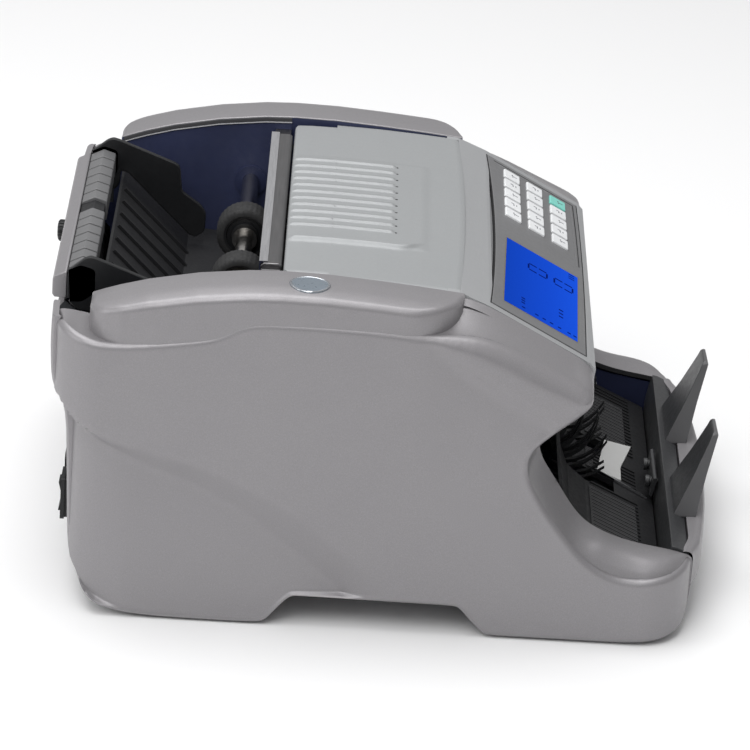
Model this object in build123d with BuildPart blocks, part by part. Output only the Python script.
"""Table-top sheet counter: sheets go in at the rear hopper and are stacked in the front pocket.

Frame, in mm: X runs across the machine (+X is the operator's right), -Y is the front, Z is up.
The origin is the middle of the footprint, on the table.
"""
from build123d import *
import math
import os

os.makedirs("parts", exist_ok=True)


def save(builder, name):
    """Label the finished piece and write its STEP file."""
    builder.part.label = name
    export_step(builder.part, "parts/" + name + ".step")


# ---------------------------------------------------------------- driving dimensions
HALF_W = 131.0          # outside of the side covers
RIM_W = 28.0            # width of the arm-rest rim on each side
WALL = 3.0              # shell thickness
IN_X = HALF_W - RIM_W   # inner edge of the rim
PLATE_IN = 103.5        # inner face of a side plate
PLATE_T = 3.0
FIT_X = 102.7           # half width of the front casing and console, between the side covers
TRAY_X = 102.9          # half width of the feed tray and transport plate
SHAFT_R = 4.0
RUN = 0.03              # radial running clearance of a shaft in its bearing
BEARING_R = 8.0
BASE_Z = 7.0            # underside of the base plate
BASE_T = 2.0
ON_BASE_Z = BASE_Z + BASE_T + 0.05  # parts standing on the base plate start here

# Every y below is counted from a line 4.8 mm behind the origin; the planes carry the difference.
ORIGIN_Y = 4.8
SIDE = Plane(origin=(0, ORIGIN_Y, 0), x_dir=(0, 1, 0), z_dir=(1, 0, 0))    # sketch (y, z)
FLOOR = Plane(origin=(0, ORIGIN_Y, 0), x_dir=(1, 0, 0), z_dir=(0, 0, 1))   # sketch (x, y)
REAR = Plane(origin=(0, ORIGIN_Y, 0), x_dir=(1, 0, 0), z_dir=(0, -1, 0))   # sketch (x, z)

# shaft axes (y, z)
PICKUP = (66.5, 131.0)
FEED = (30.0, 118.0)
TRANSPORT = (-20.0, 95.0)
IDLER = (-17.0, 119.1)
STACKER = (-78.0, 50.0)
MOTOR = (72.0, 46.0)
BEARING_AXES = (PICKUP, FEED, TRANSPORT, IDLER, STACKER)

PICKUP_R, FEED_R, TRANSPORT_R, IDLER_R, STACKER_R = 14.0, 17.0, 14.0, 10.0, 36.0

# x centres of the rollers and wheels
INNER_PAIR_X = (-20.0, 20.0)
OUTER_PAIR_X = (-32.5, 32.5)
FOUR_ROLLERS_X = (-59.0, -20.0, 20.0, 59.0)

# how far shafts reach from the middle: plain end, and end that carries pulleys
PLAIN_END = 109.0
PULLEY_END = 125.0

# console plane: starts at the top edge and runs down towards the operator
CONSOLE_Y, CONSOLE_Z = -49.0, 154.0
SLOPE_Y, SLOPE_Z = -0.8829, -0.4696     # unit vector down the slope
CONSOLE_NORMAL = (0, SLOPE_Z, -SLOPE_Y)
CONSOLE = Plane(origin=(0, ORIGIN_Y + CONSOLE_Y, CONSOLE_Z), x_dir=(1, 0, 0),
                z_dir=CONSOLE_NORMAL)


def on_console(down, above):
    """(y, z) of a point down the console slope and above its face."""
    return (CONSOLE_Y + SLOPE_Y * down + SLOPE_Z * above,
            CONSOLE_Z + SLOPE_Z * down - SLOPE_Y * above)


HINGE = (-32.3, 158.25)     # top cover hinge axis (y, z)

# ---------------------------------------------------------------- side outline
# y, z at the inner edge of the rim, then the shift (dy, dz) reached at the outer face
OUTLINE = [
    (-116.0, 1.0, 0, 0), (-56.7, 1.0, 0, 0), (-48.4, 8.5, 0, 0), (-43.0, 15.0, 0, 0),
    (34.6, 15.8, 0, 0), (41.8, 6.8, 0, 0), (45.2, 2.6, 0, 0), (48.8, 1.0, 0, 0),
    (108.0, 1.2, -1, 0.5), (124.0, 5.0, -2, 1), (132.2, 14.0, -2, 1),
    (136.4, 26.0, -2, 0), (137.6, 66.0, -2, 0), (139.1, 100.0, -2, 0), (145.9, 107.5, -2, 0),
    (146.1, 141.0, -2, -1), (139.0, 137.0, 0, -1), (134.0, 138.5, -1, -1.5),
    (133.0, 143.5, -3, -3), (130.0, 149.8, -4, -5), (119.0, 154.1, -2, -6),
    (105.7, 157.9, -1, -7), (83.0, 162.0, 0, -7), (60.6, 164.4, 0, -7), (45.6, 165.0, 0, -7),
    (25.0, 164.6, 0, -7), (3.8, 163.3, 0, -7), (-16.8, 161.6, 0, -7), (-32.7, 160.0, 0, -8),
    (-49.0, 154.0, 0, -8), (-73.0, 141.3, 0, -7), (-96.0, 129.0, 2, -6), (-99.0, 124.0, 3, -2),
    (-98.0, 117.5, 3, 0), (-88.0, 107.7, 2, 1), (-78.5, 99.0, 2, 0.5), (-74.5, 91.0, 3.2, -0.5),
    (-76.5, 83.0, 4.4, -1), (-86.3, 68.3, 5.6, -3.2), (-96.6, 52.9, 3.6, -5.0),
    (-105.6, 46.7, 4.0, -6.6), (-113.6, 42.9, 2.6, -8.0), (-121.5, 40.8, 1.5, -7.8),
    (-134.0, 38.6, 10.0, -5.5), (-144.2, 36.7, 17.6, -3.4), (-150.4, 35.0, 22.4, -1.6),
    (-151.2, 31.0, 23.0, 0), (-151.0, 20.0, 22.6, 0), (-148.0, 10.0, 20.9, 0),
    (-141.0, 4.5, 15.3, -1), (-130.0, 1.8, 6.0, -0.6),
]


def outline(share):
    """Side outline with the given share of the shift: 0 at the rim, 1 at the outer face."""
    return [(y + dy * share, z + dz * share) for (y, z, dy, dz) in OUTLINE]


def inset(points, distance):
    """Closed outline moved inwards, corner by corner, with crossings dropped."""
    count = len(points)
    area = sum(points[i - 1][0] * points[i][1] - points[i][0] * points[i - 1][1]
               for i in range(count))
    turn = 1.0 if area > 0 else -1.0
    lines = []      # shifted edges: a point y, z and the unit direction
    for i in range(count):
        (y0, z0), (y1, z1) = points[i], points[(i + 1) % count]
        length = math.hypot(y1 - y0, z1 - z0)
        dir_y, dir_z = (y1 - y0) / length, (z1 - z0) / length
        lines.append((y0 - dir_z * turn * distance, z0 + dir_y * turn * distance, dir_y, dir_z))

    def meet(first, second):
        cross = first[2] * second[3] - first[3] * second[2]
        if abs(cross) < 1e-6:
            return (second[0], second[1])
        along = ((second[0] - first[0]) * second[3]
                 - (second[1] - first[1]) * second[2]) / cross
        return (first[0] + first[2] * along, first[1] + first[3] * along)

    while True:
        left = len(lines)
        corners = [meet(lines[i - 1], lines[i]) for i in range(left)]
        flipped = [i for i in range(left)
                   if (corners[(i + 1) % left][0] - corners[i][0]) * lines[i][2]
                   + (corners[(i + 1) % left][1] - corners[i][1]) * lines[i][3] < 0.05]
        if not flipped:
            return corners
        lines.pop(flipped[0])


# ---------------------------------------------------------------- side covers
# x, share of the outline shift: a soft round from the rim into the side wall
STATIONS = [(IN_X, 0.0), (114.0, 0.10), (121.0, 0.25), (126.0, 0.43), (129.0, 0.66),
            (130.4, 0.84), (HALF_W, 1.0)]
# x start, x stop, share: steps of the hollow
HOLLOW_STEPS = [(IN_X - 1, 110.0, 0.0), (110.0, 119.0, 0.22), (119.0, 125.0, 0.42),
                (125.0, 128.2, 0.66)]
# y, z of the curved recess in the outer wall
RECESS = [(134, 88), (125, 88.6), (100, 84), (76, 77), (53.5, 68), (33, 56), (12, 39.5),
          (-3.4, 28), (-14, 18), (15, 20.8), (39, 40), (59.5, 55.6), (82, 67.4), (108, 76.6),
          (133, 86.5)]
RECESS_DEPTH = 0.6

with BuildPart() as side_cover_right:
    for station, share in STATIONS:
        with BuildSketch(SIDE.offset(station)):
            Polygon(*outline(share), align=None)
    loft(ruled=True)
    # hollow, open towards the machine
    for start, stop, share in HOLLOW_STEPS:
        with BuildSketch(SIDE.offset(start)):
            Polygon(*inset(outline(share), WALL), align=None)
        extrude(amount=stop - start, mode=Mode.SUBTRACT)
    with BuildSketch(SIDE.offset(HALF_W - RECESS_DEPTH)):
        Polygon(*RECESS, align=None)
    extrude(amount=2.0, mode=Mode.SUBTRACT)
save(side_cover_right, "side_cover_right")

with BuildPart() as side_cover_left:
    add(side_cover_right.part)
    mirror(about=Plane.YZ, mode=Mode.REPLACE)
save(side_cover_left, "side_cover_left")

# ---------------------------------------------------------------- inner side plates
TIE_RODS = [(122.0, 24.0), (5.0, 50.0), (-126.0, 15.0), (-40.0, 140.0), (104.0, 84.0)]  # y, z
BEARING_SEAT_R = BEARING_R + 0.02
SENSOR_HOLE = (92.6, 124.0)

with BuildPart() as side_plates:
    for sign in (1, -1):
        with BuildSketch(SIDE.offset(PLATE_IN if sign > 0 else -PLATE_IN - PLATE_T)):
            Polygon(*inset(outline(0.0), WALL + 0.4), align=None)
            with Locations(*BEARING_AXES):
                Circle(BEARING_SEAT_R, mode=Mode.SUBTRACT)
            with Locations(*TIE_RODS):
                Circle(2.2, mode=Mode.SUBTRACT)
            # notch at the upper rear corner
            with Locations((141.0, 133.0)):
                Rectangle(14, 22, mode=Mode.SUBTRACT)
            # the motor shaft leaves on the right only
            if sign > 0:
                with Locations(MOTOR):
                    Circle(6, mode=Mode.SUBTRACT)
            with Locations(SENSOR_HOLE):
                Circle(1.5, mode=Mode.SUBTRACT)
        extrude(amount=PLATE_T)
save(side_plates, "side_plates")

# ---------------------------------------------------------------- tie rods and screws
ROD_R = 4.5
ROD_GAP = 0.02          # gap between rod end and side plate
ROD_BORE_R = 2.1
ROD_BORE_DEPTH = 14

with BuildPart() as tie_rods:
    with BuildSketch(SIDE.offset(-PLATE_IN + ROD_GAP)):
        with Locations(*TIE_RODS):
            Circle(ROD_R)
    extrude(amount=2 * (PLATE_IN - ROD_GAP))
    for sign in (-1, 1):
        with BuildSketch(SIDE.offset(sign * PLATE_IN)):
            with Locations(*TIE_RODS):
                Circle(ROD_BORE_R)
        extrude(amount=-sign * ROD_BORE_DEPTH, mode=Mode.SUBTRACT)
save(tie_rods, "tie_rods")

# bracket screws: sketch x across, plane normal to the rear, at screw height
BRACKET = Plane(origin=(0, ORIGIN_Y, 30.0), x_dir=(1, 0, 0), z_dir=(0, 1, 0))
BRACKET_SCREWS = [(-10, 0), (10, 0)]
BRACKET_HEAD_Y = -135.4     # underside of the heads
BRACKET_HOLE_R = 1.6


def cross_slot(length, width):
    """Two crossed bars of a screwdriver recess, drawn in the current sketch."""
    Rectangle(length, width)
    Rectangle(width, length)


with BuildPart() as machine_screws:
    # tie rod screws
    for sign in (1, -1):
        face = sign * (PLATE_IN + PLATE_T + 0.02)
        with BuildSketch(SIDE.offset(face)):
            with Locations(*TIE_RODS):
                Circle(3.8)
        extrude(amount=sign * 2.6)
        with BuildSketch(SIDE.offset(face)):
            with Locations(*TIE_RODS):
                Circle(2.0)
        extrude(amount=-sign * 15.0)
        with BuildSketch(SIDE.offset(face + sign * 1.4)):
            with Locations(*TIE_RODS):
                cross_slot(5.2, 1.0)
        extrude(amount=sign * 2.0, mode=Mode.SUBTRACT)
    # two pan head screws of the stacker bracket: head, shank, recess
    with BuildSketch(BRACKET.offset(BRACKET_HEAD_Y)):
        with Locations(*BRACKET_SCREWS):
            Circle(2.9)
    extrude(amount=1.8)
    with BuildSketch(BRACKET.offset(BRACKET_HEAD_Y)):
        with Locations(*BRACKET_SCREWS):
            Circle(1.5)
    extrude(amount=-9.0)
    with BuildSketch(BRACKET.offset(BRACKET_HEAD_Y + 1.0)):
        with Locations(*BRACKET_SCREWS):
            cross_slot(4.0, 0.9)
    extrude(amount=2.0, mode=Mode.SUBTRACT)
save(machine_screws, "machine_screws")

# ---------------------------------------------------------------- bearings
BEARING_LIP = 2.0       # reach inwards past the side plate

with BuildPart() as bearings:
    for sign in (1, -1):
        with BuildSketch(SIDE.offset(sign * (PLATE_IN - BEARING_LIP))):
            with Locations(*BEARING_AXES):
                Circle(BEARING_R)
                Circle(SHAFT_R + RUN, mode=Mode.SUBTRACT)
        extrude(amount=sign * (BEARING_LIP + PLATE_T))
save(bearings, "bearings")

# ---------------------------------------------------------------- base plate and feet
FEET = [(-90, -115), (90, -115), (-90, 105), (90, 105)]     # x, y
FOOT_H = BASE_Z - 0.02

with BuildPart() as base_plate:
    with BuildSketch(FLOOR.offset(BASE_Z)):
        with Locations((0, -8)):
            RectangleRounded(206.0, 254.0, 6)
        with Locations(*FEET):
            Circle(2.1, mode=Mode.SUBTRACT)
    extrude(amount=BASE_T)
    # stiffening flanges along rear and front
    with BuildSketch(FLOOR.offset(BASE_Z + BASE_T)):
        with Locations((0, 117.5), (0, -133.5)):
            Rectangle(190, 2.0)
    extrude(amount=8.0)
save(base_plate, "base_plate")

with BuildPart() as rubber_feet:
    with BuildSketch(FLOOR):
        with Locations(*FEET):
            Circle(9.0)
    extrude(amount=FOOT_H, taper=6)
    # plugs through the base plate
    with BuildSketch(FLOOR.offset(FOOT_H)):
        with Locations(*FEET):
            Circle(2.0)
    extrude(amount=4.0)
save(rubber_feet, "rubber_feet")

# ---------------------------------------------------------------- rear cover
REAR_COVER_X = 129.0
REAR_COVER = [      # y, z: outer face upwards, then inner face downwards
    (124.6, 4.6), (130.0, 6.6), (136.6, 14.0), (140.6, 25.0), (141.8, 66.0), (143.3, 98.0),
    (150.0, 106.0), (150.6, 141.5),
    (146.4, 141.5), (146.2, 107.3), (139.4, 99.8), (137.9, 66.0), (136.7, 25.8), (132.5, 13.8),
]
INLET = (-60.0, 44.0)           # mains inlet centre (x, z)
SWITCH = (-92.0, 44.0)          # rocker switch centre (x, z)
REAR_CUT = REAR.offset(-160.0)  # cuts from behind start here
REAR_CUT_DEPTH = 30.0

with BuildPart() as rear_cover:
    with BuildSketch(SIDE.offset(-REAR_COVER_X)):
        Polygon(*REAR_COVER, align=None)
    extrude(amount=2 * REAR_COVER_X)
    # opening for the hopper beam and its guides
    with BuildSketch(REAR_CUT):
        with Locations((0, 140.0)):
            RectangleRounded(188.0, 36.0, 5)
    extrude(amount=REAR_CUT_DEPTH, mode=Mode.SUBTRACT)
    # mains inlet and rocker switch cut-outs
    with BuildSketch(REAR_CUT):
        with Locations(INLET):
            Rectangle(27.4, 20.4)
        with Locations(SWITCH):
            Rectangle(13.4, 19.4)
    extrude(amount=REAR_CUT_DEPTH, mode=Mode.SUBTRACT)
    # upright cooling slots
    with BuildSketch(REAR_CUT):
        with Locations((45.0, 44.0)):
            with GridLocations(8.0, 0, 9, 1):
                SlotOverall(26.0, 3.2, rotation=90)
    extrude(amount=REAR_CUT_DEPTH, mode=Mode.SUBTRACT)
save(rear_cover, "rear_cover")

# ---------------------------------------------------------------- front casing
# wall below the stacker, bowed forward in the middle
CASING_END_Y = -154.0
CASING_BOW = 7.6
CASING_IN_Y = CASING_END_Y + WALL

with BuildPart() as front_casing:
    with BuildSketch(FLOOR.offset(3.0)):
        with BuildLine():
            outer_arc = ThreePointArc((-FIT_X, CASING_END_Y), (0, CASING_END_Y - CASING_BOW),
                                      (FIT_X, CASING_END_Y))
            end_line = Line(outer_arc @ 1, (FIT_X, CASING_IN_Y))
            inner_arc = ThreePointArc(end_line @ 1, (0, CASING_IN_Y - CASING_BOW),
                                      (-FIT_X, CASING_IN_Y))
            Line(inner_arc @ 1, outer_arc @ 0)
        make_face()
    extrude(amount=33.6)
    # lower front edge cut back along a stepped slope
    with BuildSketch(SIDE.offset(-110.0)):
        Polygon((-170, 0), (-148.0, 0), (-151.0, 7.0), (-157.0, 13.0), (-162.0, 22.0),
                (-170, 22.0), align=None)
    extrude(amount=220.0, mode=Mode.SUBTRACT)
    # bottom return to the base plate
    with BuildSketch(SIDE.offset(-FIT_X)):
        Polygon((-151.2, 7.5), (-151.0, 10.5), (-135.5, 9.6), (-135.5, 7.2), (-146.0, 4.6),
                align=None)
    extrude(amount=2 * FIT_X)
save(front_casing, "front_casing")

# ---------------------------------------------------------------- stacker tray
# floor and rear wall of the receiving pocket
STACK_TRAY_X = 101.2
STACK_TRAY = [      # y, z: upper face from the front edge back and up, then the lower face
    (-137.5, 20.9), (-103.0, 37.0), (-94.0, 44.5), (-90.0, 55.0), (-88.2, 70.0),
    (-86.4, 70.0), (-88.0, 54.6), (-92.4, 43.2), (-102.0, 34.4), (-137.5, 18.0),
]
# on the sloping floor, at its upper end
TRAY_FLOOR = Plane(origin=(0, ORIGIN_Y - 103.0, 36.9), x_dir=(1, 0, 0),
                   z_dir=(0, -0.4229, 0.9062))
WHEEL_SLOT_W = 15.0

with BuildPart() as stacker_tray:
    with BuildSketch(SIDE.offset(-STACK_TRAY_X)):
        Polygon(*STACK_TRAY, align=None)
    extrude(amount=2 * STACK_TRAY_X)
    # slots for the stacking wheels
    with BuildSketch(FLOOR.offset(10.0)):
        with Locations(*[(x, -98) for x in INNER_PAIR_X]):
            Rectangle(WHEEL_SLOT_W, 40.0)
    extrude(amount=80.0, mode=Mode.SUBTRACT)
    # fine ribs along the floor, beside and between the slots
    with BuildSketch(TRAY_FLOOR):
        with Locations((-62, -16), (62, -16)):
            with GridLocations(4.0, 0, 18, 1):
                Rectangle(1.2, 26.0)
        with Locations((0, -16)):
            with GridLocations(4.0, 0, 6, 1):
                Rectangle(1.2, 26.0)
    extrude(amount=0.8)
save(stacker_tray, "stacker_tray")

# ---------------------------------------------------------------- stacker plate and bracket
STACK_PLATE_X = 102.0
STACK_PLATE = [     # y, z: rear face upwards, rim to the front, then down the front face
    (-137.9, 17.0), (-138.6, 26.0), (-139.8, 33.0), (-141.4, 38.8), (-144.0, 38.2),
    (-150.6, 35.6), (-150.6, 33.2), (-144.4, 35.0), (-142.6, 32.0), (-141.6, 25.0),
    (-141.2, 15.0), (-139.0, 13.0),
]
WING_X = 39.0
# z, y, width, thickness at the foot and the tip
WING_ENDS = [(30.0, -146.2, 35.0, 8.6), (76.6, -160.2, 22.0, 2.8)]

with BuildPart() as stacker_plate:
    with BuildSketch(SIDE.offset(-STACK_PLATE_X)):
        Polygon(*STACK_PLATE, align=None)
    extrude(amount=2 * STACK_PLATE_X)
    # two tapering wings leaning forward, away from the pocket
    for sign in (-1, 1):
        for z, y, width, thickness in WING_ENDS:
            with BuildSketch(FLOOR.offset(z)):
                with Locations((sign * WING_X, y)):
                    Rectangle(width, thickness)
        loft(ruled=True)
    with BuildSketch(BRACKET.offset(-138.0)):
        with Locations(*BRACKET_SCREWS):
            Circle(BRACKET_HOLE_R)
    extrude(amount=-14.0, mode=Mode.SUBTRACT)
save(stacker_plate, "stacker_plate")

BRACKET_X = 18.0

with BuildPart() as stacker_bracket:
    # leaning strip against the rear face of the plate, above the tray's front edge
    with BuildSketch(SIDE.offset(-BRACKET_X)):
        Polygon((-137.6, 24.6), (-135.6, 24.9), (-136.6, 34.0), (-138.4, 34.9), (-139.4, 34.0),
                (-137.95, 26.0), align=None)
    extrude(amount=2 * BRACKET_X)
    with BuildSketch(BRACKET.offset(-130.0)):
        with Locations(*BRACKET_SCREWS):
            Circle(BRACKET_HOLE_R)
    extrude(amount=-20.0, mode=Mode.SUBTRACT)
save(stacker_bracket, "stacker_bracket")

# ---------------------------------------------------------------- console
CONSOLE_FRAME = [   # y, z: upper face from the top edge to the lower lip, then the inside back up
    (-33.0, 160.0), (-36.0, 159.4), on_console(0, 0), on_console(54, 0),
    (-99.4, 125.6), (-98.6, 118.0), (-92.0, 109.0), (-84.0, 101.5),
    (-81.8, 103.6), (-89.4, 110.8), (-95.4, 119.0), (-96.1, 124.6),
    on_console(52.5, -WALL), on_console(1.0, -WALL), (-36.5, 156.8), (-33.0, 157.4),
]
HINGE_BLOCK = [(-40.0, 154.0), (-40.0, 157.6), (-35.0, 159.7), (-29.6, 160.2), (-29.6, 156.0),
               (-35.0, 154.0)]      # y, z
HINGE_BLOCK_W = 3.5
PANEL_CENTRE = (0, -27.0)           # on the console plane: x, minus the distance down the slope
DISPLAY_CENTRE = (-45.0, -28.0)
COVER_CUT_Z, COVER_CUT_H = 150.0, 20.0      # height range of the cuts along the cover's edges
CUT_X = 103.0                       # half width of those cuts

with BuildPart() as console_frame:
    with BuildSketch(SIDE.offset(-FIT_X)):
        Polygon(*CONSOLE_FRAME, align=None)
    extrude(amount=2 * FIT_X)
    # bowed rear edge that follows the top cover
    with BuildSketch(FLOOR.offset(COVER_CUT_Z)):
        with BuildLine():
            rear_arc = ThreePointArc((-CUT_X, -35.3), (0, -37.7), (CUT_X, -35.3))
            Polyline(rear_arc @ 1, (CUT_X, -20.0), (-CUT_X, -20.0), rear_arc @ 0)
        make_face()
    extrude(amount=COVER_CUT_H, mode=Mode.SUBTRACT)
    # seat for the display panel and the window below it
    with BuildSketch(CONSOLE):
        with Locations(PANEL_CENTRE):
            Rectangle(194.6, 50.6)
    extrude(amount=-1.5, mode=Mode.SUBTRACT)
    with BuildSketch(CONSOLE.offset(4.0)):
        with Locations(PANEL_CENTRE):
            Rectangle(187.0, 46.0)
    extrude(amount=-12.0, mode=Mode.SUBTRACT)
    # corner blocks that carry the top cover hinge pins
    for x_start in (-FIT_X, FIT_X - HINGE_BLOCK_W):
        with BuildSketch(SIDE.offset(x_start)):
            Polygon(*HINGE_BLOCK, align=None)
        extrude(amount=HINGE_BLOCK_W)
    with BuildSketch(SIDE.offset(-110.0)):
        with Locations(HINGE):
            Circle(0.95)
    extrude(amount=220.0, mode=Mode.SUBTRACT)
save(console_frame, "console_frame")

# keys on the right half, numbered from the top row down, each row from right to left
KEY_X = [83.0 - 13.05 * column for column in range(5)]
KEY_DOWN = [14.5, 27.6, 41.0]
KEYS = [(x, -down) for down in KEY_DOWN for x in KEY_X]

with BuildPart() as display_panel:
    with BuildSketch(CONSOLE.offset(-1.45)):
        with Locations(PANEL_CENTRE):
            RectangleRounded(194.0, 50.0, 2.0)
        with Locations(DISPLAY_CENTRE):
            RectangleRounded(84.0, 40.0, 1.5, mode=Mode.SUBTRACT)
        with Locations(*KEYS):
            RectangleRounded(10.4, 9.4, 0.8, mode=Mode.SUBTRACT)
    extrude(amount=1.4)
save(display_panel, "display_panel")

with BuildPart() as lcd_module:
    with BuildSketch(CONSOLE.offset(-5.6)):
        with Locations(DISPLAY_CENTRE):
            Rectangle(90.0, 44.0)
    extrude(amount=4.0)
    # raised glass in the panel's window
    with BuildSketch(CONSOLE.offset(-1.7)):
        with Locations(DISPLAY_CENTRE):
            RectangleRounded(83.4, 39.4, 1.2)
    extrude(amount=1.2)
save(lcd_module, "lcd_module")

for number, centre in enumerate(KEYS, start=1):
    with BuildPart() as key:
        # flange under the panel, then the cap
        with BuildSketch(CONSOLE.offset(-2.6)):
            with Locations(centre):
                Rectangle(11.4, 10.6)
        extrude(amount=0.8)
        with BuildSketch(CONSOLE.offset(-1.9)):
            with Locations(centre):
                RectangleRounded(10.0, 9.0, 0.7)
        extrude(amount=3.3)
        # the straight edges of the cap's top that run along X
        cross_edges = key.edges().filter_by(GeomType.LINE).filter_by(Axis.X)
        chamfer(cross_edges.group_by(Axis((0, 0, 0), CONSOLE_NORMAL))[-1], length=0.4)
    save(key, "key_%02d" % number)

# ---------------------------------------------------------------- top cover
COVER_X = 102.6
COVER_TOP = [(45.6, 162.4), (25.6, 163.0), (25.3, 163.5), (0.0, 162.5), (-20.0, 161.4),
             (-38.0, 160.0)]        # y, z
COVER_LOW = [(-38.0, 157.6), (-20.0, 159.0), (0.0, 160.1), (25.3, 161.1), (43.2, 160.2),
             (43.2, 156.4), (45.6, 156.4)]
COVER_RIB = [(43.0, 162.0), (43.0, 162.9), (25.4, 164.1), (0, 163.3), (-4.0, 163.1),
             (-5.0, 162.0), (0, 161.8), (25.3, 162.4)]
COVER_RIB_W = 2.4
LUG_W = 6.0
LUG_OUT = 98.9          # outer face of a hinge lug
PIN_IN, PIN_OUT = 94.2, 102.5

with BuildPart() as top_cover:
    with BuildSketch(SIDE.offset(-COVER_X)):
        Polygon(*(COVER_TOP + COVER_LOW), align=None)
    extrude(amount=2 * COVER_X)
    # front edge bowed, rear part narrower
    with BuildSketch(FLOOR.offset(COVER_CUT_Z)):
        with BuildLine():
            front_arc = ThreePointArc((-CUT_X, -34.0), (0, -37.0), (CUT_X, -34.0))
            Polyline(front_arc @ 1, (CUT_X, -60.0), (-CUT_X, -60.0), front_arc @ 0)
        make_face()
        with Locations((101.6, 40.0), (-101.6, 40.0)):
            Rectangle(6.0, 28.0)
        # corners left free for the console's hinge blocks
        with Locations((LUG_OUT + 2.5, -33.0), (-LUG_OUT - 2.5, -33.0)):
            Rectangle(5.0, 8.0)
    extrude(amount=COVER_CUT_H, mode=Mode.SUBTRACT)
    # raised ribs
    for i in range(11):
        with BuildSketch(SIDE.offset(46.0 - 8.7 * i - COVER_RIB_W / 2)):
            Polygon(*COVER_RIB, align=None)
        extrude(amount=COVER_RIB_W)
    # round hinge lugs at the front corners, bored from outside
    for x_start in (-LUG_OUT, LUG_OUT - LUG_W):
        with BuildSketch(SIDE.offset(x_start)):
            with Locations(HINGE):
                Circle(1.9)
        extrude(amount=LUG_W)
    for x_start in (-110.0, 94.0):
        with BuildSketch(SIDE.offset(x_start)):
            with Locations(HINGE):
                Circle(0.93)
        extrude(amount=16.0, mode=Mode.SUBTRACT)
save(top_cover, "top_cover")

with BuildPart() as cover_hinge_pins:
    for x_start in (-PIN_OUT, PIN_IN):
        with BuildSketch(SIDE.offset(x_start)):
            with Locations(HINGE):
                Circle(0.9)
        extrude(amount=PIN_OUT - PIN_IN)
save(cover_hinge_pins, "cover_hinge_pins")

# ---------------------------------------------------------------- cross bar behind the top cover
BAR_X = 87.0
BAR = [     # y, z of a channel open downwards
    (46.6, 150.0), (46.6, 161.6), (48.0, 162.4), (55.0, 162.4), (56.2, 161.4),
    (56.2, 150.0), (53.6, 150.0), (53.6, 158.6), (49.0, 158.6), (49.0, 150.0),
]
TAB_OUT = 103.4         # outer end of the tabs
TAB_W = 18.0
STRIP_X = 86.5

with BuildPart() as cross_bar:
    with BuildSketch(SIDE.offset(-BAR_X)):
        Polygon(*BAR, align=None)
    extrude(amount=2 * BAR_X)
    # end tabs to the side plates
    for x_start in (-TAB_OUT, TAB_OUT - TAB_W):
        with BuildSketch(SIDE.offset(x_start)):
            Polygon((47.5, 151.0), (47.5, 159.0), (55.5, 159.0), (55.5, 151.0), align=None)
        extrude(amount=TAB_W)
save(cross_bar, "cross_bar")

with BuildPart() as cross_bar_strip:
    # angle over the bar's upper rear edge
    with BuildSketch(SIDE.offset(-STRIP_X)):
        Polygon((53.0, 162.42), (53.0, 163.3), (56.9, 163.3), (56.9, 158.0), (56.25, 158.0),
                (56.25, 161.9), (55.4, 162.42), align=None)
    extrude(amount=2 * STRIP_X)
save(cross_bar_strip, "cross_bar_strip")

# ---------------------------------------------------------------- retard (separating) rollers
# held in front of and below the cross bar
RETARD = (39.2, 142.0)      # axis (y, z)
RETARD_R = 8.0
RETARD_W = 12.0
RETARD_SHAFT_R = 2.5
RETARD_SHAFT_X = 38.0
EAR_X = 36.0                # outer face of the outer ears
EAR_W = 3.0

with BuildPart() as retard_rollers:
    for x_start in (-EAR_X, -6.0, 3.0, EAR_X - EAR_W):
        with BuildSketch(SIDE.offset(x_start)):
            Polygon((36.0, 138.0), (36.0, 146.0), (44.0, 149.9), (56.0, 149.9), (56.0, 146.0),
                    (46.0, 138.0), align=None)
        extrude(amount=EAR_W)
    # strip joining the ears
    with BuildSketch(SIDE.offset(-EAR_X)):
        Polygon((52.0, 147.0), (52.0, 149.9), (56.0, 149.9), (56.0, 147.0), align=None)
    extrude(amount=2 * EAR_X)
    # fixed shaft through the four ears
    with BuildSketch(SIDE.offset(-RETARD_SHAFT_X)):
        with Locations(RETARD):
            Circle(RETARD_SHAFT_R)
    extrude(amount=2 * RETARD_SHAFT_X)
    # two rubber rollers, clamped on the shaft
    for x in INNER_PAIR_X:
        with BuildSketch(SIDE.offset(x - RETARD_W / 2)):
            with Locations(RETARD):
                Circle(RETARD_R)
        extrude(amount=RETARD_W)
save(retard_rollers, "retard_rollers")

# ---------------------------------------------------------------- feed tray (hopper floor)
FEED_TRAY = [(129.8, 137.6), (128.6, 137.2), (96.0, 104.6), (52.0, 101.4), (52.0, 99.0),
             (97.2, 102.0), (130.2, 134.6)]     # y, z
FEED_RIB = [(127.9, 136.0), (126.4, 137.2), (97.0, 108.0), (94.0, 103.8), (96.4, 104.0)]
FEED_RIB_W = 1.8

with BuildPart() as feed_tray:
    with BuildSketch(SIDE.offset(-TRAY_X)):
        Polygon(*FEED_TRAY, align=None)
    extrude(amount=2 * TRAY_X)
    # raised ribs on the sloping part
    for i in range(9):
        with BuildSketch(SIDE.offset(-66.0 + 16.5 * i - FEED_RIB_W / 2)):
            Polygon(*FEED_RIB, align=None)
        extrude(amount=FEED_RIB_W)
save(feed_tray, "feed_tray")

# ---------------------------------------------------------------- transport plate
TRANSPORT_PLATE = [     # y, z: upper face towards the front, then the lower face back
    (50.5, 98.6), (30.0, 98.0), (10.0, 96.0), (-4.0, 84.0), (-20.0, 79.0), (-38.0, 76.0),
    (-57.5, 68.0),
    (-57.5, 65.8), (-38.0, 73.6), (-20.0, 76.6), (-2.6, 81.6), (11.0, 93.8), (30.0, 95.8),
    (50.5, 96.4),
]

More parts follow.
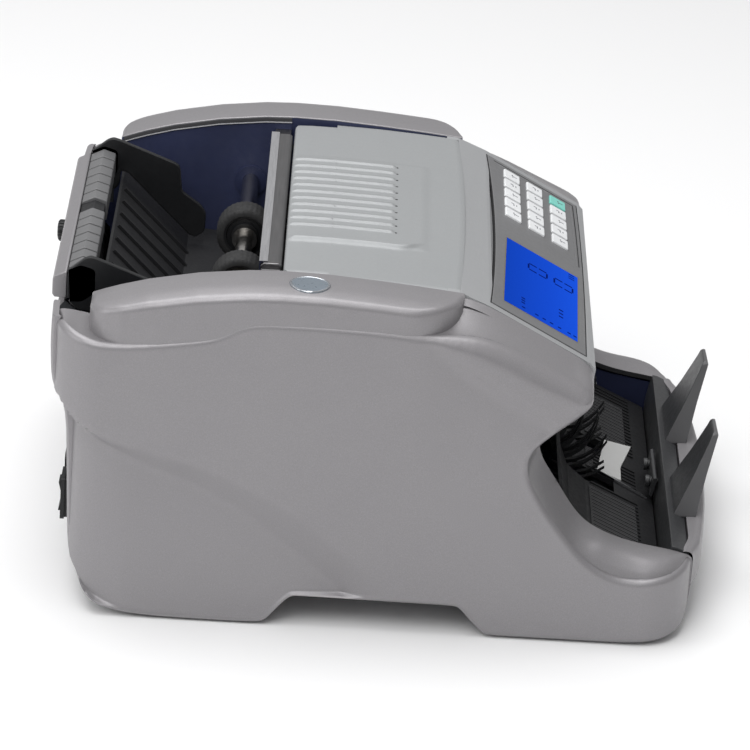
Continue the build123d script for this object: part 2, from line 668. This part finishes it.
with BuildPart() as transport_plate:
    with BuildSketch(SIDE.offset(-TRAY_X)):
        Polygon(*TRANSPORT_PLATE, align=None)
    extrude(amount=2 * TRAY_X)
    # slots for the stacking wheels
    with BuildSketch(FLOOR.offset(60.0)):
        with Locations(*[(x, -55) for x in INNER_PAIR_X]):
            Rectangle(WHEEL_SLOT_W, 24.0)
    extrude(amount=30.0, mode=Mode.SUBTRACT)
save(transport_plate, "transport_plate")

# ---------------------------------------------------------------- hopper beam
BEAM_X = 83.0
BEAM = [(133.0, 150.0), (145.0, 146.2), (151.6, 143.4), (151.6, 140.0), (146.0, 136.6),
        (138.0, 136.6), (133.0, 140.5)]         # y, z
BEAM_SUPPORT = [(133.5, 141.0), (146.0, 138.0), (146.0, 124.0), (140.0, 118.0),
                (134.6, 118.0), (134.6, 134.0), (132.0, 134.6)]
BEAM_TOP = Plane(origin=(0, ORIGIN_Y + 139.0, 148.1), x_dir=(1, 0, 0), z_dir=(0, 0.302, 0.953))
KNOB = (20.0, 131.0)        # axis of the thickness screw (x, z)
KNOB_R = 5.2

with BuildPart() as hopper_beam:
    with BuildSketch(SIDE.offset(-BEAM_X)):
        Polygon(*BEAM, align=None)
    extrude(amount=2 * BEAM_X)
    # comb grooves across the top
    with BuildSketch(BEAM_TOP):
        with Locations((-39.6, 0), (45.2, 0)):
            with GridLocations(11.3, 0, 6, 1):
                Rectangle(3.0, 13.4)
    extrude(amount=-1.2, mode=Mode.SUBTRACT)
    # centre recess
    with BuildSketch(BEAM_TOP):
        with Locations((4.0, 0)):
            Rectangle(14.0, 8.0)
    extrude(amount=-3.0, mode=Mode.SUBTRACT)
    # support hanging below the beam
    with BuildSketch(SIDE.offset(-14.0)):
        Polygon(*BEAM_SUPPORT, align=None)
    extrude(amount=42.0)
    # bore for the thickness screw
    with BuildSketch(REAR_CUT):
        with Locations(KNOB):
            Circle(2.55)
    extrude(amount=REAR_CUT_DEPTH, mode=Mode.SUBTRACT)
save(hopper_beam, "hopper_beam")

with BuildPart() as thickness_knob:
    # fluted grip, then the screw
    with BuildSketch(REAR.offset(-151.9)):
        with Locations(KNOB):
            Circle(KNOB_R)
        with Locations(KNOB):
            with PolarLocations(KNOB_R + 0.1, 20):
                Circle(0.45, mode=Mode.SUBTRACT)
    extrude(amount=5.6)
    with BuildSketch(REAR.offset(-147.0)):
        with Locations(KNOB):
            Circle(2.5)
    extrude(amount=13.0)
save(thickness_knob, "thickness_knob")

# ---------------------------------------------------------------- hopper guides
GUIDE = [   # y, z
    (131.4, 156.6), (134.0, 157.4), (137.0, 156.4), (146.0, 151.4), (152.0, 145.0),
    (151.9, 134.2), (144.7, 125.9), (135.1, 128.5), (131.6, 134.4), (131.2, 141.6),
    (126.5, 140.4), (95.5, 109.8), (92.0, 108.5), (87.6, 112.0), (87.3, 121.3),
    (90.0, 125.4), (99.6, 132.2), (101.0, 143.6), (104.0, 146.0),
]
GUIDE_OPENING = [(132.6, 150.5), (145.2, 146.6), (152.2, 143.7), (152.2, 139.7),
                 (146.2, 136.2), (137.8, 136.2), (132.6, 140.3)]
GUIDE_COLLAR = [(131.2, 150.0), (131.2, 140.0), (137.4, 134.6), (146.6, 134.6),
                (151.9, 138.0), (151.9, 138.9), (146.2, 136.2), (137.8, 136.2),
                (132.6, 140.3), (132.6, 150.2)]
GUIDE_OUT = 80.4        # outer face
GUIDE_T = 2.4
COLLAR_W = 8.0          # counted inwards from the outer face

for side, guide_start, collar_start in (
    ("right", GUIDE_OUT - GUIDE_T, GUIDE_OUT - COLLAR_W),
    ("left", -GUIDE_OUT, -GUIDE_OUT),
):
    with BuildPart() as guide:
        with BuildSketch(SIDE.offset(guide_start)):
            Polygon(*GUIDE, align=None)
            Polygon(*GUIDE_OPENING, align=None, mode=Mode.SUBTRACT)
        extrude(amount=GUIDE_T)
        # collar that rides on the beam
        with BuildSketch(SIDE.offset(collar_start)):
            Polygon(*GUIDE_COLLAR, align=None)
        extrude(amount=COLLAR_W)
    save(guide, "hopper_guide_" + side)

# ---------------------------------------------------------------- shafts with their pulleys
# The pulleys sit outside the side plates.
# right side: lane A motor to feed, lane B feed to pick-up
# left side: lane A feed to transport, lane B transport to stacker
LANE = {"A": 110.0, "B": 117.0}     # inner face of the pulleys
PULLEY_W = 6.0
FLANGE_W = 0.5
FLANGE_RISE = 1.9
MOTOR_PULLEY_R = 9.0
FEED_DRIVEN_R = 18.0        # feed pulley driven by the motor
EQUAL_PULLEY_R = 14.0       # feed to pick-up and feed to transport, one to one
STACKER_DRIVE_R = 5.5
STACKER_DRIVEN_R = 7.0
COLLAR_STARTS = (-26.4, 21.4)   # collars at the inner faces of the pick-up wheels


def pulley_start(sign, lane):
    """Lowest x of a pulley: sign 1 on the right, -1 on the left."""
    return LANE[lane] if sign > 0 else -LANE[lane] - PULLEY_W


# name, axis, radius, x low, x high, pulleys (side sign, lane, radius), x starts of collars
SHAFTS = (
    ("pickup_shaft", PICKUP, SHAFT_R, -PLAIN_END, PULLEY_END,
     ((1, "B", EQUAL_PULLEY_R),), COLLAR_STARTS),
    ("feed_shaft", FEED, SHAFT_R, -PULLEY_END, PULLEY_END,
     ((1, "A", FEED_DRIVEN_R), (1, "B", EQUAL_PULLEY_R), (-1, "A", EQUAL_PULLEY_R)), ()),
    ("transport_shaft", TRANSPORT, SHAFT_R, -PULLEY_END, PLAIN_END,
     ((-1, "A", EQUAL_PULLEY_R), (-1, "B", STACKER_DRIVE_R)), ()),
    ("stacker_shaft", STACKER, SHAFT_R, -PULLEY_END, PLAIN_END,
     ((-1, "B", STACKER_DRIVEN_R),), ()),
    ("motor_shaft", MOTOR, 3.0, 22.0, 120.0, ((1, "A", MOTOR_PULLEY_R),), ()),
)

for name, axis, radius, x_low, x_high, pulleys, collars in SHAFTS:
    with BuildPart() as shaft:
        with BuildSketch(SIDE.offset(x_low)):
            with Locations(axis):
                Circle(radius)
        extrude(amount=x_high - x_low)
        chamfer(shaft.edges().filter_by(GeomType.CIRCLE), length=0.5)
        for x_start in collars:
            with BuildSketch(SIDE.offset(x_start)):
                with Locations(axis):
                    Circle(6.0)
            extrude(amount=5.0)
        for sign, lane, pulley_r in pulleys:
            x_start = pulley_start(sign, lane)
            with BuildSketch(SIDE.offset(x_start)):
                with Locations(axis):
                    Circle(pulley_r)
            extrude(amount=PULLEY_W)
            # flanges on both sides of the belt
            for x_flange in (x_start, x_start + PULLEY_W - FLANGE_W):
                with BuildSketch(SIDE.offset(x_flange)):
                    with Locations(axis):
                        Circle(pulley_r + FLANGE_RISE)
                extrude(amount=FLANGE_W)
    save(shaft, name)

# ---------------------------------------------------------------- pick-up wheels and tyres
PICKUP_W = 12.0
PICKUP_CORE_R = 11.0
PICKUP_DISH = 4.0       # depth of the dished faces

with BuildPart() as pickup_wheels:
    for x in OUTER_PAIR_X:
        x_start = x - PICKUP_W / 2
        with BuildSketch(SIDE.offset(x_start)):
            with Locations(PICKUP):
                Circle(PICKUP_CORE_R)
                Circle(SHAFT_R, mode=Mode.SUBTRACT)
        extrude(amount=PICKUP_W)
        # dished faces with a hub left standing
        for face, depth in ((x_start, PICKUP_DISH), (x_start + PICKUP_W, -PICKUP_DISH)):
            with BuildSketch(SIDE.offset(face)):
                with Locations(PICKUP):
                    Circle(9.4)
                    Circle(6.4, mode=Mode.SUBTRACT)
            extrude(amount=depth, mode=Mode.SUBTRACT)
save(pickup_wheels, "pickup_wheels")

with BuildPart() as pickup_tyres:
    for x in OUTER_PAIR_X:
        with BuildSketch(SIDE.offset(x - PICKUP_W / 2)):
            with Locations(PICKUP):
                Circle(PICKUP_R)
                Circle(PICKUP_CORE_R, mode=Mode.SUBTRACT)
                with PolarLocations(PICKUP_R + 0.2, 24):
                    Circle(0.8, mode=Mode.SUBTRACT)
        extrude(amount=PICKUP_W)
save(pickup_tyres, "pickup_tyres")

# ---------------------------------------------------------------- plain rollers
ROLLER_W = 14.0
ROLLER_DISH = 2.5       # depth of the dished faces, and thickness of the rim round them

for name, axis, radius, centres in (
    ("feed_rollers", FEED, FEED_R, INNER_PAIR_X),
    ("transport_rollers", TRANSPORT, TRANSPORT_R, FOUR_ROLLERS_X),
    ("idler_rollers", IDLER, IDLER_R, FOUR_ROLLERS_X),
):
    with BuildPart() as roller:
        for x in centres:
            with BuildSketch(SIDE.offset(x - ROLLER_W / 2)):
                with Locations(axis):
                    Circle(radius)
                    Circle(SHAFT_R, mode=Mode.SUBTRACT)
            extrude(amount=ROLLER_W)
        for x in centres:
            for sign in (-1, 1):
                with BuildSketch(SIDE.offset(x + sign * ROLLER_W / 2)):
                    with Locations(axis):
                        Circle(radius - ROLLER_DISH)
                        Circle(SHAFT_R + 1.6, mode=Mode.SUBTRACT)
                extrude(amount=-sign * ROLLER_DISH, mode=Mode.SUBTRACT)
        if name == "idler_rollers":
            # the idlers are moulded on their own shaft
            with BuildSketch(SIDE.offset(-PLAIN_END)):
                with Locations(axis):
                    Circle(SHAFT_R)
            extrude(amount=2 * PLAIN_END)
    save(roller, name)

# ---------------------------------------------------------------- stacking wheels
FINGERS = 10
FINGER_STEPS = 12
FINGER_ROOT_R = 7.0
STACK_HUB_R = 9.0
STACK_WHEEL_W = 10.0


def finger(turn):
    """Closed (y, z) outline of one curved finger, from the hub to its narrow tip."""
    leading, trailing = [], []
    for i in range(FINGER_STEPS + 1):
        share = i / FINGER_STEPS
        radius = FINGER_ROOT_R + (STACKER_R - FINGER_ROOT_R) * share
        swing = math.radians(-105.0 * share + 40.0 * share * share) + turn
        half = 0.5 * (2.4 * (1 - share) + 0.5 * share) / radius * 1.5
        for edge, angle in ((leading, swing + half), (trailing, swing - half)):
            edge.append((STACKER[0] + radius * math.cos(angle),
                         STACKER[1] + radius * math.sin(angle)))
    return leading + trailing[::-1]


with BuildPart() as stacker_wheels:
    for x in INNER_PAIR_X:
        with BuildSketch(SIDE.offset(x - STACK_WHEEL_W / 2)):
            with Locations(STACKER):
                Circle(STACK_HUB_R)
            for i in range(FINGERS):
                Polygon(*finger(2 * math.pi * i / FINGERS), align=None)
            with Locations(STACKER):
                Circle(SHAFT_R, mode=Mode.SUBTRACT)
        extrude(amount=STACK_WHEEL_W)
save(stacker_wheels, "stacker_wheels")

# ---------------------------------------------------------------- drive belts
BELT_INNER, BELT_OUTER = 0.1, 1.6   # heights above the pulley surface
BELT_SIDE_GAP = 0.7


def on_circle(centre, radius, angle):
    return (centre[0] + radius * math.cos(angle), centre[1] + radius * math.sin(angle))


def draw_loop(centre1, radius1, centre2, radius2):
    """Draw an open belt's line round two circles in the current BuildLine."""
    dy, dz = centre2[0] - centre1[0], centre2[1] - centre1[1]
    base = math.atan2(dz, dy)
    tilt = math.acos((radius1 - radius2) / math.hypot(dy, dz))
    start1, end1 = [on_circle(centre1, radius1, base + turn) for turn in (tilt, -tilt)]
    start2, end2 = [on_circle(centre2, radius2, base + turn) for turn in (tilt, -tilt)]
    Line(start1, start2)
    ThreePointArc(start2, on_circle(centre2, radius2, base), end2)
    Line(end2, end1)
    ThreePointArc(end1, on_circle(centre1, radius1, base + math.pi), start1)


# axis and pulley radius of each end, side sign, lane
BELTS = (
    (MOTOR, MOTOR_PULLEY_R, FEED, FEED_DRIVEN_R, 1, "A"),
    (FEED, EQUAL_PULLEY_R, PICKUP, EQUAL_PULLEY_R, 1, "B"),
    (FEED, EQUAL_PULLEY_R, TRANSPORT, EQUAL_PULLEY_R, -1, "A"),
    (TRANSPORT, STACKER_DRIVE_R, STACKER, STACKER_DRIVEN_R, -1, "B"),
)

with BuildPart() as drive_belts:
    for axis1, radius1, axis2, radius2, sign, lane in BELTS:
        with BuildSketch(SIDE.offset(pulley_start(sign, lane) + BELT_SIDE_GAP)):
            for rise, mode in ((BELT_OUTER, Mode.ADD), (BELT_INNER, Mode.SUBTRACT)):
                with BuildLine():
                    draw_loop(axis1, radius1 + rise, axis2, radius2 + rise)
                make_face(mode=mode)
        extrude(amount=PULLEY_W - 2 * BELT_SIDE_GAP)
save(drive_belts, "drive_belts")

# ---------------------------------------------------------------- motor
MOTOR_R = 21.0
MOTOR_START, MOTOR_END = 28.0, 86.0     # x of the body

with BuildPart() as drive_motor:
    with BuildSketch(SIDE.offset(MOTOR_START)):
        with Locations(MOTOR):
            Circle(MOTOR_R)
            Circle(3.2, mode=Mode.SUBTRACT)
    extrude(amount=MOTOR_END - MOTOR_START)
    rims = drive_motor.edges().filter_by(GeomType.CIRCLE)
    fillet(rims.filter_by(lambda edge: edge.radius > MOTOR_R - 1), radius=2.0)
    # mounting plate with its foot on the base plate
    with BuildSketch(SIDE.offset(MOTOR_END)):
        Polygon((46.0, ON_BASE_Z), (46.0, 60.0), (56.0, 72.0), (88.0, 72.0), (98.0, 60.0),
                (98.0, ON_BASE_Z), align=None)
        with Locations(MOTOR):
            Circle(7.0, mode=Mode.SUBTRACT)
    extrude(amount=2.0)
    with BuildSketch(FLOOR.offset(ON_BASE_Z)):
        with Locations((79.0, 72.0)):
            Rectangle(18.0, 52.0)
    extrude(amount=2.0)
save(drive_motor, "drive_motor")

# ---------------------------------------------------------------- circuit boards and flat cable
BOARD_T = 1.6
KEY_BOARD_LOW = -8.2            # underside of the console board, from the console face
KEY_BOARD_TOP = KEY_BOARD_LOW + BOARD_T
MAIN_BOARD_Z = 14.0
MAIN_BOARD_TOP = MAIN_BOARD_Z + BOARD_T
MAIN_BOARD = (-10.0, -2.0)      # centre (x, y)
CABLE_W = 14.0

with BuildPart() as boards_and_cable:
    # key and display board under the console, with four blocks under the display
    with BuildSketch(CONSOLE.offset(KEY_BOARD_LOW)):
        with Locations(PANEL_CENTRE):
            Rectangle(184.0, 43.0)
    extrude(amount=BOARD_T)
    with BuildSketch(CONSOLE.offset(KEY_BOARD_TOP)):
        with Locations(DISPLAY_CENTRE):
            with GridLocations(80, 34, 2, 2):
                Rectangle(6, 4)
    extrude(amount=0.95)
    # tactile switches under the keys
    with BuildSketch(CONSOLE.offset(KEY_BOARD_TOP)):
        with Locations(*KEYS):
            Rectangle(6, 6)
    extrude(amount=2.2)
    # main board over the base plate, then its standoffs
    with BuildSketch(FLOOR.offset(MAIN_BOARD_Z)):
        with Locations(MAIN_BOARD):
            Rectangle(150.0, 76.0)
    extrude(amount=BOARD_T)
    with BuildSketch(FLOOR.offset(ON_BASE_Z)):
        with Locations(MAIN_BOARD):
            with GridLocations(140.0, 66.0, 2, 2):
                Circle(3.0)
    extrude(amount=5.0)
    # low rectangular components, then tall round ones
    with BuildSketch(FLOOR.offset(MAIN_BOARD_TOP)):
        with Locations((-50, -20), (-5, -20)):
            Rectangle(18, 18)
        with Locations((-30, 14), (30, 14)):
            Rectangle(24, 12)
    extrude(amount=3.5)
    with BuildSketch(FLOOR.offset(MAIN_BOARD_TOP)):
        with Locations((-70, 20), (-58, 20), (50, -25)):
            Circle(5.0)
    extrude(amount=14.0)
    # flat cable from the console down, then back over the main board
    with BuildSketch(SIDE.offset(-78.0)):
        Polygon((-58.6, 16.2), (-59.6, 16.2), (-59.6, 136.0), (-58.6, 136.0), align=None)
    extrude(amount=CABLE_W)
    with BuildSketch(FLOOR.offset(16.2)):
        with Locations((-71.0, -46.0)):
            Rectangle(CABLE_W, 27.2)
    extrude(amount=1.0)
save(boards_and_cable, "boards_and_cable")

# ---------------------------------------------------------------- transformer
# z start, x size, y size, height: main block, block longer in Y, foot strip longer in X
TRANSFORMER = [(ON_BASE_Z, 56.0, 46.0, 44.0), (15.0, 34.0, 60.0, 32.0),
               (ON_BASE_Z, 76.0, 16.0, 2.0)]

with BuildPart() as transformer:
    for z, size_x, size_y, height in TRANSFORMER:
        with BuildSketch(FLOOR.offset(z)):
            with Locations((-57.0, 84.0)):
                Rectangle(size_x, size_y)
        extrude(amount=height)
save(transformer, "transformer")

# ---------------------------------------------------------------- mains inlet and switch
ENTRY_FLANGE = REAR.offset(-143.4)      # rear face of both flanges
ENTRY_BODY = REAR.offset(-142.0)
ENTRY_CUT = REAR.offset(-143.5)
FLANGE_T = 1.8
ENTRY_DEPTH = 18.0

with BuildPart() as power_entry:
    with BuildSketch(ENTRY_FLANGE):
        with Locations(INLET):
            RectangleRounded(30.0, 23.0, 2.0)
    extrude(amount=FLANGE_T)
    with BuildSketch(ENTRY_BODY):
        with Locations(INLET):
            Rectangle(27.0, 20.0)
    extrude(amount=ENTRY_DEPTH)
    with BuildSketch(ENTRY_CUT):
        with Locations(INLET):
            RectangleRounded(22.0, 15.0, 3.0)
    extrude(amount=14.0, mode=Mode.SUBTRACT)
    # contact blades
    with BuildSketch(REAR.offset(-141.0)):
        with Locations((-67.0, 43.0), (-53.0, 43.0), (-60.0, 46.5)):
            Rectangle(2.0, 4.0)
    extrude(amount=13.0)
    # switch housing beside the inlet
    with BuildSketch(ENTRY_FLANGE):
        with Locations(SWITCH):
            RectangleRounded(15.0, 21.0, 1.5)
    extrude(amount=FLANGE_T)
    with BuildSketch(ENTRY_BODY):
        with Locations(SWITCH):
            Rectangle(13.0, 19.0)
    extrude(amount=ENTRY_DEPTH)
    with BuildSketch(ENTRY_CUT):
        with Locations(SWITCH):
            Rectangle(10.0, 17.4)
    extrude(amount=13.0, mode=Mode.SUBTRACT)
save(power_entry, "power_entry")

ROCKER_W = 9.4

with BuildPart() as power_switch:
    # rocker with two rear faces meeting in a shallow valley, pivot along X
    with BuildSketch(SIDE.offset(SWITCH[0] - ROCKER_W / 2)):
        Polygon((134.6, 37.6), (144.6, 36.8), (142.9, 44.0), (144.6, 51.2), (134.6, 50.4),
                align=None)
        # bore for the pivot pin
        with Locations((138.0, SWITCH[1])):
            Circle(1.1, mode=Mode.SUBTRACT)
    extrude(amount=ROCKER_W)
save(power_switch, "power_switch")

# ---------------------------------------------------------------- oval badge, left arm-rest
# lies on the rim, tilted outwards with it
BADGE = Plane(origin=(-117.5, ORIGIN_Y + 33.0, 164.25), x_dir=(0, 1, 0),
              z_dir=(-0.1478, 0, 0.9890))

with BuildPart() as badge:
    with BuildSketch(BADGE):
        Ellipse(9.2, 8.0)
    extrude(amount=0.6)
save(badge, "badge")
